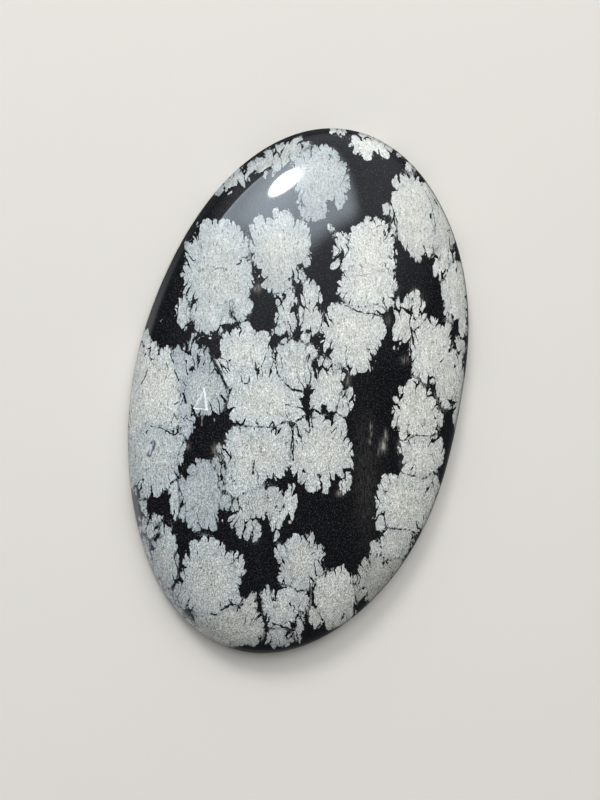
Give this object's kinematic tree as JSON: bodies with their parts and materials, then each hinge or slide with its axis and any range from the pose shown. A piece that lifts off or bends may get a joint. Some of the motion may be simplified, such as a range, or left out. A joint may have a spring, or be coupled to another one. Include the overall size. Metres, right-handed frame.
{
  "type": "snowflake obsidian cabochon",
  "caption": "Oval domed cabochon of black obsidian with grey snowflake spots, a sloped girdle and a flat back for setting in jewellery.",
  "frame": {"origin": "centre of the flat back face", "axes": "+Y along the stone's length, +X across its width, +Z out of the dome, away from the flat back"},
  "size_m": [0.026, 0.042, 0.006],
  "materials": {
    "snowflake_obsidian": "polished black volcanic glass with pale grey cristobalite flakes"
  },
  "bodies": {
    "root": {"cabochon": "snowflake_obsidian"}
  },
  "joints": []
}
